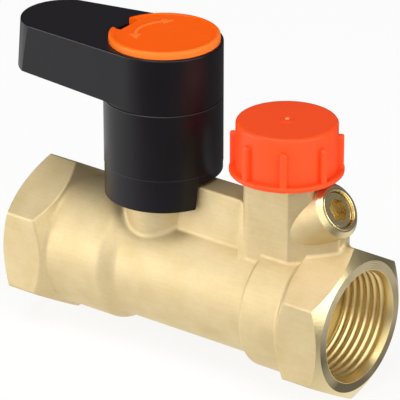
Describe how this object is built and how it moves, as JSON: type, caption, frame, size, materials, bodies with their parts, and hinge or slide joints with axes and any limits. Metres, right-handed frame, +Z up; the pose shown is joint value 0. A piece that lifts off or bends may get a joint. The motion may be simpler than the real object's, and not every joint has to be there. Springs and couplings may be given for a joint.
{
  "type": "isolating ball valve with drain",
  "caption": "Brass ball valve for a heating pipe, with threaded hexagon ends, a quarter-turn lever, a capped drain outlet and a slanted drain spindle.",
  "frame": {"origin": "centre of the inlet port's mouth, on the pipe axis", "axes": "+X along the pipe from the inlet to the outlet, +Z up along the lever's stem"},
  "size_m": [0.1168, 0.041, 0.0958],
  "materials": {
    "forged_brass": "sand-blasted forging",
    "turned_brass": "machined, bright",
    "chromed_brass": "polished chrome plate",
    "black_plastic": "satin moulding",
    "orange_plastic": "satin moulding with a bright rim",
    "red_plastic": "satin moulding",
    "white_seat_plastic": "smooth fluoropolymer",
    "black_rubber": "smooth",
    "zinc_steel": "zinc plated"
  },
  "bodies": {
    "body": {"valve_body": "forged_brass", "seat_retainer": "turned_brass", "seat_ring_inlet": "white_seat_plastic", "seat_ring_outlet": "white_seat_plastic", "drain_spindle_stop_ring": "turned_brass"},
    "lever": {"lever": "black_plastic", "neck_sleeve": "black_plastic", "cover_disc": "orange_plastic", "lever_screw": "zinc_steel", "lever_screw_washer": "zinc_steel", "stem": "turned_brass", "stem_thrust_washer": "white_seat_plastic", "stem_o_ring_lower": "black_rubber", "stem_o_ring_upper": "black_rubber", "ball": "chromed_brass"},
    "cap_gasket": {"drain_cap_gasket": "black_rubber"},
    "cap": {"drain_cap": "red_plastic"},
    "spindle_ring": {"drain_spindle_o_ring": "black_rubber"},
    "spindle": {"drain_spindle": "turned_brass", "drain_spindle_seal": "black_rubber"}
  },
  "joints": [
    {"name": "lever_turn", "type": "hinge", "parent": "body", "child": "lever", "pos_m": [0.0447, 0, 0], "axis": [0, 0, 1], "range_deg": [-90, 0]},
    {"name": "cap_lift", "type": "slide", "parent": "body", "child": "cap_gasket", "axis": [0, 0, 1], "range_m": [0, 0.00907]},
    {"name": "cap_turn", "type": "hinge", "parent": "cap_gasket", "child": "cap", "pos_m": [0.0881, 0, 0], "axis": [0, 0, 1], "range_deg": [0, 1800]},
    {"name": "spindle_lift", "type": "slide", "parent": "body", "child": "spindle_ring", "axis": [0.8387, 0, 0.5446], "range_m": [0, 0.004]},
    {"name": "spindle_turn", "type": "hinge", "parent": "spindle_ring", "child": "spindle", "pos_m": [0.0881, 0, 0.0222], "axis": [0.8387, 0, 0.5446], "range_deg": [0, 1440]}
  ],
  "couplings": [
    {"joint": "cap_lift", "follows": "cap_turn", "m_per_rad": 0.00028871},
    {"joint": "spindle_lift", "follows": "spindle_turn", "m_per_rad": 0.00015915}
  ]
}
